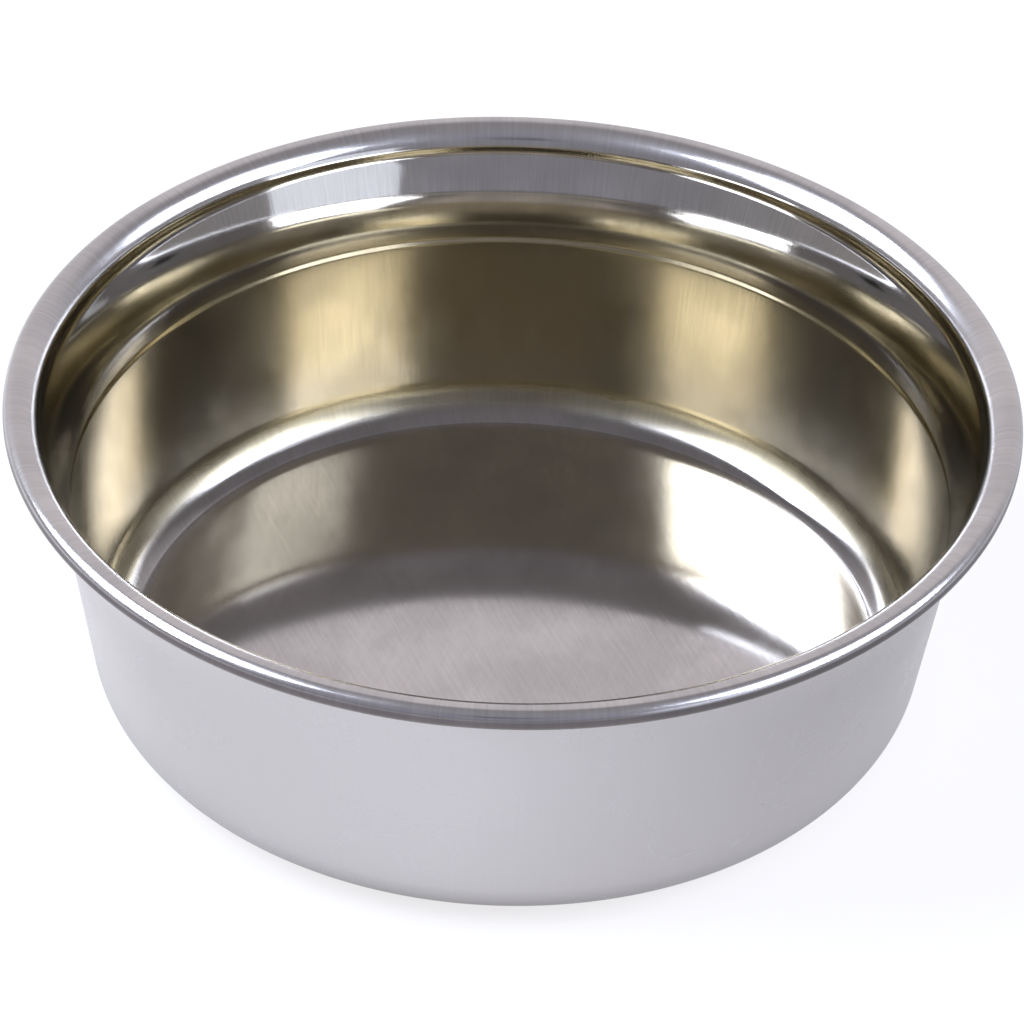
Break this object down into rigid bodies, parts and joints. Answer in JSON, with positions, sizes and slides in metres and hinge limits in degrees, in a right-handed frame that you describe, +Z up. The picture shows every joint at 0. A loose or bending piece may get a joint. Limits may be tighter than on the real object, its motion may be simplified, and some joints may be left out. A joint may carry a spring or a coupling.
{
  "type": "shaving bowl",
  "caption": "Low round steel bowl for lathering shaving soap, with a double wall, a curled rim, a flared polished collar, a shallow step inside and a flat base.",
  "frame": {"origin": "on the bowl's axis, at the plane that its base stands on", "axes": "+Z up along the bowl's axis; the bowl is the same all round, so +X and +Y are free"},
  "size_m": [0.12, 0.12, 0.04],
  "materials": {
    "inner_steel": "mirror polished rim and collar, satin brushed wall and floor",
    "outer_steel": "fine satin"
  },
  "bodies": {
    "root": {"inner_bowl": "inner_steel", "outer_shell": "outer_steel"}
  },
  "joints": []
}
